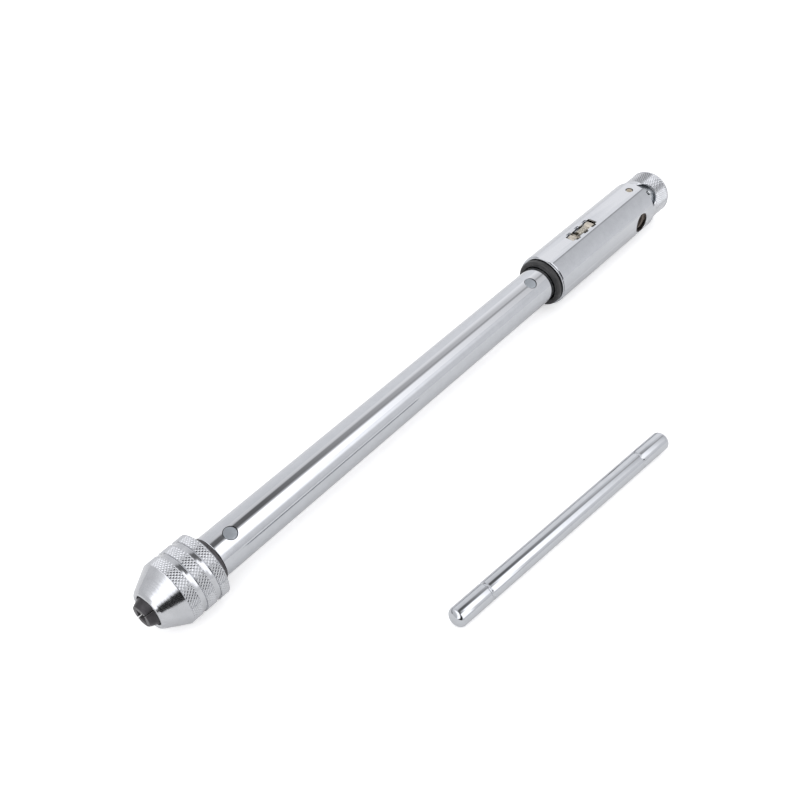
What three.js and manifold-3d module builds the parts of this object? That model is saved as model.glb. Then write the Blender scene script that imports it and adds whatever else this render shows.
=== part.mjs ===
// Long-pattern ratcheting tap wrench, lying on its chuck with the tommy bar beside it.
// Millimetres, +X from the chuck nose to the selector cap, +Z up.
// Stations along the tool are measured from the front lip of the chuck sleeve, radii from the tool axis.
import * as THREE from 'three';
import { mergeVertices } from 'three/addons/utils/BufferGeometryUtils.js';
import Module from 'manifold-3d';

const wasm = await Module();
wasm.setup();

// --- driving dimensions ---------------------------------------------------
const GAP = 0.3; // clearance between neighbouring pieces
const TUBE_R = 8;
const TUBE_BORE_R = 5.5;
const TUBE_START = 27.05;
const TUBE_END = 222;

const SLEEVE_R = 12.15;
const SLEEVE_BORE_R = 8.95;
const SLEEVE_LENGTH = 24.75;
const NOSE_HOLE_R = 5.85;
const CONE_LENGTH = 8.5;
const GROOVE_STATIONS = [13.8, 19.7];
const GROOVE_WIDTH = 2;
const GROOVE_DEPTH = 0.5;

const SQUARE_HALF = 2.1; // half of the square that the closed jaws leave
const JAW_GAP = 0.4; // slot between the closed jaws
const JAW_TURN = Math.PI / 4; // the jaws close along the diagonal between +Y and +Z
const JAW_END = 12;

const PIN_R = 2.45;
const PIN_TURN = THREE.MathUtils.degToRad(18.5); // pins lean from +Z towards -Y
const CHUCK_PIN_X = 35.2;
const SPINDLE_PIN_X = 203;

const HEAD_R = 11.2;
const HEAD_BORE_R = 9.7;
const HEAD_START = 215.8;
const HEAD_END = 286.4;
const FLAT_HEIGHT = 10.46;
const WINDOW_X = 243.2;
const WINDOW_LENGTH = 17.7;
const WINDOW_HALF_WIDTH = 2.05;
const WINDOW_LOBE_HALF_WIDTH = 2.95;
const CROSS_X = 276.2;
const CROSS_BORE_R = 3.95;
const CROSS_ENTRY_R = 4.35; // where the bore breaks through the casing
const CORE_START = 257.5;
const CORE_END = 293;
const CORE_PIN_X = 281.2;

const TOOTH_COUNT = 12;
const WHEEL_ROOT_R = 5.7;
const WHEEL_TIP_R = 6.9;
const PAWL_PIVOT_X = 4.4; // from the middle of the window
const PAWL_PIVOT_Z = 8;

const CAP_R = 10.1;
const CAP_START = 287;
const CAP_END = 302.2;
const CAP_EDGE = 3; // of the rounded rear rim, along the axis
const CAP_SCREW_SEAT = 298.6;
const ROD_R = 1.3;
const ROD_RADIUS = 6.6; // the selector rod runs below the cross bore
const ROD_SWING = THREE.MathUtils.degToRad(38);
const NOTCH_TURN = THREE.MathUtils.degToRad(38);
const NOTCH_R = 6.4;
const STOP_PIN_X = 289.4;

const BAR_R = 3.65;
const BAR_LENGTH = 111.9;
const BAR_GROOVE_FROM_END = 16;
const BAR_MIDDLE_X = 117.9;
const BAR_OFFSET_Y = -79.5; // of the bar's middle from the tool axis
const BAR_TURN = THREE.MathUtils.degToRad(-5.14);

// --- solids ---------------------------------------------------------------
function solidOf(geometry) {
  const bare = geometry.index ? geometry.toNonIndexed() : geometry;
  bare.deleteAttribute('normal');
  bare.deleteAttribute('uv');
  const merged = mergeVertices(bare, 1e-4);
  const corners = [];
  const index = merged.index.array;
  for (let i = 0; i < index.length; i += 3) {
    const [a, b, c] = index.slice(i, i + 3);
    if (a !== b && b !== c && c !== a) corners.push(a, b, c);
  }
  return new wasm.Manifold(new wasm.Mesh({
    numProp: 3,
    vertProperties: new Float32Array(merged.attributes.position.array),
    triVerts: new Uint32Array(corners),
  }));
}

function geometryOf(solid) {
  const mesh = solid.getMesh();
  const geometry = new THREE.BufferGeometry();
  geometry.setAttribute('position', new THREE.BufferAttribute(mesh.vertProperties, 3));
  geometry.setIndex(new THREE.BufferAttribute(mesh.triVerts, 1));
  geometry.computeVertexNormals();
  return geometry;
}

// A solid turned about the tool axis; the profile is a list of [station, radius].
function turned(profile, segments = 36) {
  const points = profile.map(([x, r]) => new THREE.Vector2(r, x));
  if (profile[0][1] > 0) points.push(points[0].clone());
  const geometry = new THREE.LatheGeometry(points, segments);
  geometry.rotateZ(-Math.PI / 2);
  return solidOf(geometry);
}

function ring(start, end, innerR, outerR, segments = 36) {
  return turned([[start, innerR], [start, outerR], [end, outerR], [end, innerR]], segments);
}

function shaft(start, end, r, segments = 24) {
  return turned([[start, 0], [start, r], [end, r], [end, 0]], segments);
}

// A cylinder that stands across the tool axis at station x and leans by `turn` from +Z towards -Y.
function crossRod(x, turn, from, to, r, segments = 20) {
  const geometry = new THREE.CylinderGeometry(r, r, to - from, segments);
  geometry.translate(0, (from + to) / 2, 0);
  geometry.rotateX(Math.PI / 2 + turn);
  geometry.translate(x, 0, 0);
  return solidOf(geometry);
}

function block(x, y, z) {
  const geometry = new THREE.BoxGeometry(x[1] - x[0], y[1] - y[0], z[1] - z[0]);
  geometry.translate((x[0] + x[1]) / 2, (y[0] + y[1]) / 2, (z[0] + z[1]) / 2);
  return solidOf(geometry);
}

// An outline in the XZ plane, made `halfWidth` thick to each side of the tool's middle plane.
function sideExtrude(points, halfWidth) {
  const shape = new THREE.Shape(points.map(([x, z]) => new THREE.Vector2(x, z)));
  const geometry = new THREE.ExtrudeGeometry(shape, { depth: 2 * halfWidth, bevelEnabled: false });
  geometry.translate(0, 0, -halfWidth);
  geometry.rotateX(Math.PI / 2);
  return solidOf(geometry);
}

// An outline drawn across the tool axis, [y, z], run from one station to another.
function axialExtrude(points, start, end) {
  const shape = new THREE.Shape(points.map(([y, z]) => new THREE.Vector2(y, z)));
  const geometry = new THREE.ExtrudeGeometry(shape, { depth: end - start, bevelEnabled: false });
  geometry.rotateY(Math.PI / 2);
  geometry.rotateX(Math.PI / 2);
  geometry.translate(start, 0, 0);
  return solidOf(geometry);
}

function ballAt(x, y, z, r) {
  const geometry = new THREE.SphereGeometry(r, 14, 10);
  geometry.translate(x, y, z);
  return solidOf(geometry);
}

class Helix extends THREE.Curve {
  constructor(r, length, turns) {
    super();
    this.r = r;
    this.length = length;
    this.turns = turns;
  }

  getPoint(t, target = new THREE.Vector3()) {
    const angle = t * this.turns * Math.PI * 2;
    return target.set((t - 0.5) * this.length, this.r * Math.cos(angle), this.r * Math.sin(angle));
  }
}

// A coil spring along +X about its own middle; `turn` and `place` then set it in the tool.
function coil(r, wireR, length, turns, turn, place) {
  const corners = [0, 1, 2, 3, 4].map((i) => (i * Math.PI * 2) / 5);
  const section = new THREE.Shape(
    corners.map((a) => new THREE.Vector2(wireR * Math.cos(a), wireR * Math.sin(a))),
  );
  const geometry = new THREE.ExtrudeGeometry(section, {
    steps: turns * 8,
    extrudePath: new Helix(r, length, turns),
  });
  geometry.applyMatrix4(new THREE.Matrix4().makeRotationFromEuler(turn));
  geometry.translate(...place);
  return solidOf(geometry);
}

// --- pieces ---------------------------------------------------------------
const FINISHES = {
  chrome: { color: 0xbfc4cc, roughness: 0.12, metalness: 1 },
  satinChrome: { color: 0xb4b7bd, roughness: 0.32, metalness: 1 },
  blackSteel: { color: 0x37363a, roughness: 0.45, metalness: 0.8 },
  blackPlastic: { color: 0x2e2e30, roughness: 0.55, metalness: 0 },
  steel: { color: 0x9da2a8, roughness: 0.35, metalness: 1 },
  yellowZinc: { color: 0xbdb08c, roughness: 0.4, metalness: 0.9 },
  spring: { color: 0xa9a288, roughness: 0.35, metalness: 1 },
};

const tool = new THREE.Group();

function add(name, finish, solid, parent = tool) {
  const mesh = new THREE.Mesh(geometryOf(solid), new THREE.MeshStandardMaterial(FINISHES[finish]));
  mesh.name = name;
  parent.add(mesh);
}

function chuckSleeve() {
  const outer = [[0.4, NOSE_HOLE_R], [0, 6.4], [0.2, 7.2], [1.1, 7.9], [CONE_LENGTH, SLEEVE_R]];
  for (const x of GROOVE_STATIONS) {
    const half = GROOVE_WIDTH / 2;
    outer.push([x - half, SLEEVE_R], [x - half, SLEEVE_R - GROOVE_DEPTH]);
    outer.push([x + half, SLEEVE_R - GROOVE_DEPTH], [x + half, SLEEVE_R]);
  }
  outer.push([24.15, SLEEVE_R], [SLEEVE_LENGTH, 11.2], [SLEEVE_LENGTH, SLEEVE_BORE_R]);
  outer.push([9.4, SLEEVE_BORE_R], [1.6, 6.2], [0.9, NOSE_HOLE_R]);
  add('chuck_sleeve', 'satinChrome', turned(outer, 40));
}

function chuckBody() {
  const blank = turned([
    [24, 0], [24, 4.6], [15.6, 4.6], [15.6, 8.6], [26.75, 8.6], [26.75, 5.2], [43, 5.2], [43, 0],
  ]);
  add('chuck_body', 'blackSteel', blank.subtract(crossRod(CHUCK_PIN_X, PIN_TURN, -9, 9, PIN_R + GAP)));
}

function jaw(name, side) {
  const blank = turned([
    [-2.6, 0], [-2.6, 3.7], [-1.8, 4.5], [0.3, 5.35], [6.2, 7.35], [JAW_END, 7.35], [JAW_END, 0],
  ], 32);
  const square = block([-5, 15], [-SQUARE_HALF, SQUARE_HALF], [-SQUARE_HALF, SQUARE_HALF]);
  const half = new THREE.BoxGeometry(30, 20, 20);
  half.translate(5, 0, side * (10 + JAW_GAP / 2));
  half.rotateX(-JAW_TURN);
  let solid = blank.intersect(solidOf(half)).subtract(square);
  for (const along of [-1, 1]) solid = solid.subtract(springPocket(along));
  add(name, 'blackSteel', solid);
}

function springPocket(along) {
  const pocket = new THREE.CylinderGeometry(1.4, 1.4, 7.2, 16);
  pocket.rotateX(Math.PI / 2);
  pocket.translate(8.6, along * 5.2, 0);
  pocket.rotateX(-JAW_TURN);
  return solidOf(pocket);
}

function jawSpring(name, along) {
  const reach = 5.2 * along;
  const place = [8.6, reach * Math.cos(JAW_TURN), -reach * Math.sin(JAW_TURN)];
  const turn = new THREE.Euler(-JAW_TURN, -Math.PI / 2, 0, 'XYZ');
  add(name, 'spring', coil(0.85, 0.2, 6, 5, turn, place));
}

function crossPin(name, x) {
  const pin = crossRod(x, PIN_TURN, -9, 9, PIN_R);
  add(name, 'steel', pin.intersect(shaft(x - 5, x + 5, TUBE_R - 0.02, 72)));
}

function extensionTube() {
  let tube = turned([
    [TUBE_START, TUBE_BORE_R], [TUBE_START, 7.6], [TUBE_START + 0.4, TUBE_R],
    [TUBE_END - 0.4, TUBE_R], [TUBE_END, 7.6], [TUBE_END, TUBE_BORE_R],
  ], 40);
  for (const x of [CHUCK_PIN_X, SPINDLE_PIN_X]) {
    tube = tube.subtract(crossRod(x, PIN_TURN, -9, 9, PIN_R + GAP));
  }
  add('extension_tube', 'chrome', tube);
}

function ratchetSpindle() {
  const blank = turned([
    [192, 0], [192, 4.8], [192.4, 5.2], [223.7, 5.2], [223.7, 9.2], [226.7, 9.2], [226.7, 5.2],
    [229, 5.2], [229, 4], [252.3, 4], [252.3, 3.4], [263, 3.4], [263, 0],
  ]);
  add('ratchet_spindle', 'steel', blank.subtract(crossRod(SPINDLE_PIN_X, PIN_TURN, -9, 9, PIN_R + GAP)));
}

const TOOTH_FLANK = [
  [WHEEL_ROOT_R, -0.15], [WHEEL_TIP_R, -0.06], [WHEEL_TIP_R, 0.06], [WHEEL_ROOT_R, 0.15],
];

// The gap between two teeth stands straight up, under the pawls.
function ratchetWheel() {
  const outline = [];
  const pitch = (Math.PI * 2) / TOOTH_COUNT;
  for (let i = 0; i < TOOTH_COUNT; i += 1) {
    const middle = (i + 0.5) * pitch;
    for (const [r, half] of TOOTH_FLANK) {
      outline.push([r * Math.sin(middle + half), r * Math.cos(middle + half)]);
    }
  }
  const bore = shaft(220, 260, 4 + GAP);
  add('ratchet_wheel', 'steel', axialExtrude(outline.reverse(), 230, 252).subtract(bore));
}

function frontBush() {
  add('front_bush', 'blackPlastic', turned([
    [212.5, 8.3], [212.5, 9.7], [213.1, 10.3], [214.65, 10.3], [214.65, 9.4], [TUBE_END, 9.4], [TUBE_END, 8.3],
  ]));
  add('retaining_ring', 'chrome', ring(HEAD_START - 0.85, HEAD_START - 0.3, 9.7, 11));
  add('thrust_washer', 'steel', ring(222.4, 223.4, 5.6, 9.2));
}

// The window in the flat: a long slot with three pairs of side notches.
function windowCutter() {
  const halfLength = WINDOW_LENGTH / 2;
  const slot = block(
    [WINDOW_X - halfLength, WINDOW_X + halfLength],
    [-WINDOW_HALF_WIDTH, WINDOW_HALF_WIDTH],
    [5, 12],
  );
  const lobe = [-WINDOW_LOBE_HALF_WIDTH, WINDOW_LOBE_HALF_WIDTH];
  return [-5.8, 0, 5.8].reduce(
    (cutter, x) => cutter.add(block([WINDOW_X + x - 1.4, WINDOW_X + x + 1.4], lobe, [5, 12])),
    slot,
  );
}

function headCasing() {
  let casing = turned([
    [HEAD_START, 10.1], [HEAD_START, 10.9], [HEAD_START + 0.3, HEAD_R], [HEAD_END - 0.9, HEAD_R],
    [HEAD_END, 10.5], [HEAD_END, HEAD_BORE_R], [HEAD_START + 0.6, HEAD_BORE_R],
  ], 48);
  casing = casing.subtract(block([210, 300], [-12, 12], [FLAT_HEIGHT, 13]));
  casing = casing.subtract(windowCutter());
  casing = casing.subtract(crossRod(CROSS_X, Math.PI / 2, -13, 13, CROSS_ENTRY_R, 32));
  for (const side of [-1, 1]) {
    const sink = new THREE.CylinderGeometry(5.6, 3.6, 2, 32);
    sink.translate(0, 11.2, 0);
    sink.rotateX(side > 0 ? 0 : Math.PI);
    sink.translate(CROSS_X, 0, 0);
    casing = casing.subtract(solidOf(sink));
  }
  casing = casing.subtract(crossRod(CORE_PIN_X, 0, 5, 13, 1.7));
  add('head_casing', 'chrome', casing);
}

function headCore() {
  let core = turned([
    [264, 0], [264, 3.7], [CORE_START, 3.7], [CORE_START, 9.4], [286.1, 9.4], [286.1, 8.5],
    [CORE_END, 8.5], [CORE_END, 1.9], [283, 1.9], [283, 0],
  ]);
  core = core.subtract(crossRod(CROSS_X, Math.PI / 2, -13, 13, CROSS_BORE_R, 32));
  core = core.subtract(rodSlot());
  core = core.subtract(crossRod(CORE_PIN_X, 0, 5.2, 13, 1.9));
  core = core.subtract(crossRod(CROSS_X, 0, 2, 13, 1.8));
  core = core.subtract(crossRod(STOP_PIN_X, NOTCH_TURN, 5.5, 13, 1.1, 12));
  const detentBore = new THREE.CylinderGeometry(1.5, 1.5, 12, 16);
  detentBore.rotateZ(Math.PI / 2);
  detentBore.translate(290.6, 5.6, 0);
  core = core.subtract(solidOf(detentBore));
  add('head_core', 'blackSteel', core);
}

// The arc that the selector rod swings through, along the whole core.
function rodSlot() {
  const points = [];
  const steps = 8;
  for (let i = 0; i <= steps; i += 1) {
    const angle = Math.PI - ROD_SWING + (2 * ROD_SWING * i) / steps;
    points.push([8.1 * Math.sin(angle), 8.1 * Math.cos(angle)]);
  }
  for (let i = steps; i >= 0; i -= 1) {
    const angle = Math.PI - ROD_SWING + (2 * ROD_SWING * i) / steps;
    points.push([5.1 * Math.sin(angle), 5.1 * Math.cos(angle)]);
  }
  return axialExtrude(points, CORE_START - 2, CORE_END + 2);
}

function pawlCarrier() {
  let carrier = ring(228.5, 252.6, 7.4, 9.4);
  carrier = carrier.subtract(block([233.5, 260], [-1.95, 1.95], [0, 12]));
  for (const side of [-1, 1]) {
    carrier = carrier.subtract(pawlPin(side, 8, 0.65 + GAP));
  }
  add('pawl_carrier', 'steel', carrier);
}

function pawlPin(side, halfLength, r) {
  const pin = new THREE.CylinderGeometry(r, r, 2 * halfLength, 14);
  pin.translate(WINDOW_X + side * PAWL_PIVOT_X, 0, PAWL_PIVOT_Z);
  return solidOf(pin);
}

// A pawl rocks on its pin beside the spring; its toe at the outer end drops between two teeth.
function pawl(name, side) {
  const at = (points) => points.map(([x, z]) => [WINDOW_X + side * x, z]);
  const outline = [[3.2, 7.4], [8.2, 7.4], [8.2, 9], [7.5, 9.9], [5.4, 10.1], [4.5, 9.4], [3.2, 9.3]];
  const body = sideExtrude(at(outline), 1.75);
  const toe = sideExtrude(at([[7, 6.3], [8.2, 6.3], [8.2, 7.6], [6.6, 7.6]]), 0.65);
  add(name, 'yellowZinc', body.add(toe).subtract(pawlPin(side, 8, 0.65 + GAP)));
}

function pawlSet() {
  pawlCarrier();
  pawl('pawl_front', -1);
  pawl('pawl_rear', 1);
  add('pawl_pin_front', 'steel', pawlPin(-1, 3.9, 0.65));
  add('pawl_pin_rear', 'steel', pawlPin(1, 3.9, 0.65));
  const along = new THREE.Euler(0, 0, 0);
  add('pawl_spring', 'spring', coil(1.5, 0.22, 5, 7, along, [WINDOW_X, 0, 8.8]));
}

function coreFittings() {
  add('core_pin', 'yellowZinc', crossRod(CORE_PIN_X, 0, 5.6, 10.3, 1.5));
  add('stop_pin', 'steel', crossRod(STOP_PIN_X, NOTCH_TURN, 6, 9.6, 0.8, 12));
  add('bar_detent_ball', 'steel', ballAt(CROSS_X, 0, 5, 1.45));
  const upright = new THREE.Euler(0, Math.PI / 2, 0);
  add('bar_detent_spring', 'spring', coil(1.05, 0.22, 2.2, 3, upright, [CROSS_X, 0, 8]));
  add('cap_detent_ball', 'steel', ballAt(292.05, 5.6, 0, 1.2));
  const along = new THREE.Euler(0, 0, 0);
  add('cap_detent_spring', 'spring', coil(0.85, 0.2, 5, 5, along, [287.9, 5.6, 0]));
}

function axialBore(start, end, z, r) {
  const bore = new THREE.CylinderGeometry(r, r, end - start, 20);
  bore.rotateZ(Math.PI / 2);
  bore.translate((start + end) / 2, 0, z);
  return solidOf(bore);
}

function selectorCap() {
  let cap = turned([
    [293.6, 1.9], [293.6, 8.8], [CAP_START, 8.8], [CAP_START, 9.7], [287.5, CAP_R],
    [CAP_END - CAP_EDGE, CAP_R], [CAP_END - 1.2, 9.3], [CAP_END, 7.4], [CAP_END, 3.4],
    [CAP_SCREW_SEAT, 3.4], [CAP_SCREW_SEAT, 1.9],
  ], 48);
  // a round cutter from outside bites a lens-shaped notch out of the front rim
  const notch = crossRod(CAP_START + 5.04 - NOTCH_R, NOTCH_TURN, 4, 13, NOTCH_R, 40);
  cap = cap.subtract(notch).subtract(axialBore(292, 296.5, -ROD_RADIUS, ROD_R + GAP));
  add('selector_cap', 'satinChrome', cap);
}

function selectorParts() {
  add('selector_rod', 'steel', axialBore(253.3, 296, -ROD_RADIUS, ROD_R));
  const cam = ring(253.3, 256.8, 3.8, 9.2).subtract(axialBore(250, 260, -ROD_RADIUS, ROD_R + GAP));
  add('selector_cam', 'steel', cam);
  const socket = new THREE.CylinderGeometry(1.5, 1.5, 4, 6);
  socket.rotateZ(Math.PI / 2);
  const head = [CAP_SCREW_SEAT + GAP, CAP_SCREW_SEAT + 3.2];
  socket.translate(head[1], 0, 0);
  const screw = turned([[284, 0], [284, 1.6], [head[0], 1.6], [head[0], 3], [head[1], 3], [head[1], 0]]);
  add('cap_screw', 'blackSteel', screw.subtract(solidOf(socket)));
}

// Half of the bar's profile, from its rounded tip to its middle.
function barHalfProfile() {
  const half = BAR_LENGTH / 2;
  const points = [[-half, 0]];
  for (let i = 1; i <= 5; i += 1) {
    const angle = (i * Math.PI) / 10;
    points.push([-half + 2.6 * (1 - Math.cos(angle)), BAR_R * Math.sin(angle)]);
  }
  const groove = -half + BAR_GROOVE_FROM_END;
  points.push([groove - 0.6, BAR_R], [groove - 0.3, BAR_R - 0.45]);
  points.push([groove + 0.3, BAR_R - 0.45], [groove + 0.6, BAR_R]);
  return points;
}

function tommyBar() {
  const half = barHalfProfile();
  const profile = [...half, ...half.map(([x, r]) => [-x, r]).reverse()];
  const holder = new THREE.Group();
  holder.position.set(BAR_MIDDLE_X, BAR_OFFSET_Y, BAR_R - SLEEVE_R);
  holder.rotation.z = BAR_TURN;
  tool.add(holder);
  add('tommy_bar', 'chrome', turned(profile, 24), holder);
}

chuckSleeve();
chuckBody();
jaw('jaw_upper', 1);
jaw('jaw_lower', -1);
jawSpring('jaw_spring_near', -1);
jawSpring('jaw_spring_far', 1);
extensionTube();
crossPin('chuck_pin', CHUCK_PIN_X);
crossPin('spindle_pin', SPINDLE_PIN_X);
ratchetSpindle();
ratchetWheel();
frontBush();
headCasing();
headCore();
pawlSet();
coreFittings();
selectorCap();
selectorParts();
tommyBar();

// The origin is under the middle of the whole, on the surface that it lies on.
const bounds = new THREE.Box3().setFromObject(tool);
const middle = bounds.getCenter(new THREE.Vector3());
tool.position.set(-middle.x, -middle.y, -bounds.min.z);

const group = new THREE.Group();
group.add(tool);

export default group;
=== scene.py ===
# Long-pattern ratcheting tap wrench in polished chrome, with its tommy bar laid beside it.
# Stations are millimetres from the front lip of the chuck sleeve, radii are from the tool's axis,
# and a turn leans from straight up towards the side that the tommy bar lies on.
import math

import bmesh
import bpy
from mathutils import Matrix, Vector


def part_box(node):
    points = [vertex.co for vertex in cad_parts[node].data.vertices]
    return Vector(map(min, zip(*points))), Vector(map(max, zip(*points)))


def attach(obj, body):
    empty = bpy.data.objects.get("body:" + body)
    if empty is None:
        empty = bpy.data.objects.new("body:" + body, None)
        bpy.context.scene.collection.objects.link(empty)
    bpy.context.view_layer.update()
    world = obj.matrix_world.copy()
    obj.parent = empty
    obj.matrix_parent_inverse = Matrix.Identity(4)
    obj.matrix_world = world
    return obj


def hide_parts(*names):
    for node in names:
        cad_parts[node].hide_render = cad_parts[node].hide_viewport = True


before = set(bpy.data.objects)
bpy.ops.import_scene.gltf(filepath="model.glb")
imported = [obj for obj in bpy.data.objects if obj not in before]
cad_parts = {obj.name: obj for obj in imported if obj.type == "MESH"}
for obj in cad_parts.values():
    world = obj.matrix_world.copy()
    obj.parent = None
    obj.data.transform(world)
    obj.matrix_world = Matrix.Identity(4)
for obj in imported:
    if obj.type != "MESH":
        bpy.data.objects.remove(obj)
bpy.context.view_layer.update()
print("frame loaded:", len(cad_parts), "nodes")

mm = 0.001
tubeLow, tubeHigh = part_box("extension_tube")
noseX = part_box("chuck_sleeve")[0].x
axisY = (tubeLow.y + tubeHigh.y) / 2
axisZ = (tubeLow.z + tubeHigh.z) / 2
toolPlace = Matrix.Translation((noseX, axisY, axisZ))


def at(x, radius=0.0, turn=0.0):
    return Vector((x * mm, -radius * mm * math.sin(turn), radius * mm * math.cos(turn)))


# Adds a shader node; each value is either a socket to link from or a plain setting.
def put(tree, kind, values=None, **settings):
    made = tree.nodes.new("ShaderNode" + kind)
    for key, value in settings.items():
        setattr(made, key, value)
    for key, value in (values or {}).items():
        if isinstance(value, bpy.types.NodeSocket):
            tree.links.new(value, made.inputs[key])
        else:
            made.inputs[key].default_value = value
    return made


def calc(tree, operation, a, b=0.0, c=0.0):
    return put(tree, "Math", {0: a, 1: b, 2: c}, operation=operation).outputs[0]


def grey(level):
    return (level, level, level, 1.0)


def ramp(tree, value, stops):
    made = put(tree, "ValToRGB", {0: value})
    elements = made.color_ramp.elements
    while len(elements) < len(stops):
        elements.new(0.5)
    for element, (position, level) in zip(elements, stops):
        element.position = position
        element.color = grey(level)
    return made.outputs[0]


def remap(tree, value, low, high, outLow=0.0, outHigh=1.0):
    return put(tree, "MapRange", {0: value, 1: low, 2: high, 3: outLow, 4: outHigh}).outputs[0]


def blendColour(tree, share, first, second):
    made = put(tree, "Mix", {0: share, 6: first, 7: second}, data_type="RGBA")
    return made.outputs[2]


def sharedEffect(name, inputs, outputs):
    group = bpy.data.node_groups.new(name, "ShaderNodeTree")
    for title, default in inputs.items():
        socket = group.interface.new_socket(title, in_out="INPUT", socket_type="NodeSocketFloat")
        socket.default_value = default
    for title in outputs:
        group.interface.new_socket(title, in_out="OUTPUT", socket_type="NodeSocketFloat")
    given = group.nodes.new("NodeGroupInput").outputs
    return group, given, group.nodes.new("NodeGroupOutput").inputs


def effect(tree, group, **values):
    made = tree.nodes.new("ShaderNodeGroup")
    made.node_tree = group
    for key, value in values.items():
        made.inputs[key].default_value = value
    return made.outputs


# Fine rings left by turning or by a polishing belt, running round the piece's own X axis.
def makeTurnedRings():
    tree, given, out = sharedEffect("turnedRings", {"Pitch": 0.15, "Sway": 0.6}, ["Height", "Streak"])
    where = put(tree, "SeparateXYZ", {0: put(tree, "TexCoord").outputs["Object"]}).outputs
    along = calc(tree, "DIVIDE", calc(tree, "MULTIPLY", where[0], 1 / mm), given["Pitch"])
    sway = calc(tree, "MULTIPLY", given["Sway"], 0.12 / mm)
    across = [calc(tree, "MULTIPLY", where[1], sway), calc(tree, "MULTIPLY", where[2], sway)]
    lines = put(tree, "CombineXYZ", {0: along, 1: across[0], 2: across[1]}).outputs[0]
    fine = put(tree, "TexNoise", {"Vector": lines, "Scale": 1.0, "Detail": 3.0}).outputs[0]
    slow = put(tree, "VectorMath", {0: lines, 1: (0.23, 1.7, 1.7)}, operation="MULTIPLY").outputs[0]
    wide = put(tree, "TexNoise", {"Vector": slow, "Scale": 1.0, "Detail": 2.0}).outputs[0]
    tree.links.new(fine, out["Height"])
    tree.links.new(calc(tree, "MULTIPLY", calc(tree, "ADD", fine, wide), 0.5), out["Streak"])
    return tree


# Hairlines and faint rubbed patches that handling leaves on a hard bright surface.
def makeHandling():
    tree, given, out = sharedEffect("handling", {"Hairlines": 0.5, "Smudges": 0.5}, ["Scratch", "Smudge"])
    where = put(tree, "TexCoord").outputs["Object"]
    scratch = 0.0
    for angle, offset in ((0.3, 0.0), (-0.9, 5.0), (1.4, 9.0)):
        stretched = put(tree, "Mapping", {0: where, 1: (offset, 0, 0), 2: (angle, 0.4 * angle, angle)})
        stretched.inputs[3].default_value = (260, 5200, 5200)
        line = put(tree, "TexNoise", {"Vector": stretched.outputs[0], "Scale": 1.0, "Detail": 1.0})
        scratch = calc(tree, "MAXIMUM", remap(tree, line.outputs[0], 0.70, 0.78), scratch)
    tree.links.new(calc(tree, "MULTIPLY", scratch, given["Hairlines"]), out["Scratch"])
    cloud = put(tree, "TexNoise", {"Vector": where, "Scale": 90.0, "Detail": 4.0}).outputs[0]
    cloud = remap(tree, cloud, 0.42, 0.68)
    tree.links.new(calc(tree, "MULTIPLY", cloud, given["Smudges"]), out["Smudge"])
    return tree


# Rubbed outside edges, and painted shade darkening the inside corners.
def makeRubbedEdgesAndCornerShade():
    tree, given, out = sharedEffect("rubbedEdgesAndCornerShade", {"Reach": 0.04}, ["Rubbed", "PaintedCornerShade"])
    point = put(tree, "NewGeometry").outputs["Pointiness"]
    away = calc(tree, "DIVIDE", calc(tree, "SUBTRACT", point, 0.5), given["Reach"])
    tree.links.new(remap(tree, away, 0.35, 1.0), out["Rubbed"])
    # This mask darkens the inside corners: painted shade.
    tree.links.new(remap(tree, calc(tree, "MULTIPLY", away, -1.0), 0.35, 1.0), out["PaintedCornerShade"])
    return tree


# Fine tooth of a blasted, blackened or moulded surface.
def makeFineTooth():
    tree, given, out = sharedEffect("fineTooth", {"Grain": 0.25}, ["Height", "Mottle"])
    where = put(tree, "TexCoord").outputs["Object"]
    scale = calc(tree, "DIVIDE", 1 / mm, given["Grain"])
    cells = put(tree, "TexVoronoi", {"Vector": where, "Scale": scale}, feature="SMOOTH_F1").outputs[0]
    fine = put(tree, "TexNoise", {"Vector": where, "Scale": scale, "Detail": 4.0}).outputs[0]
    tree.links.new(calc(tree, "ADD", calc(tree, "MULTIPLY", cells, 0.4), fine), out["Height"])
    patch = put(tree, "TexNoise", {"Vector": where, "Scale": 320.0, "Detail": 5.0}).outputs[0]
    tree.links.new(patch, out["Mottle"])
    return tree


turnedRings = makeTurnedRings()
handling = makeHandling()
rubbedEdgesAndCornerShade = makeRubbedEdgesAndCornerShade()
fineTooth = makeFineTooth()
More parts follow.
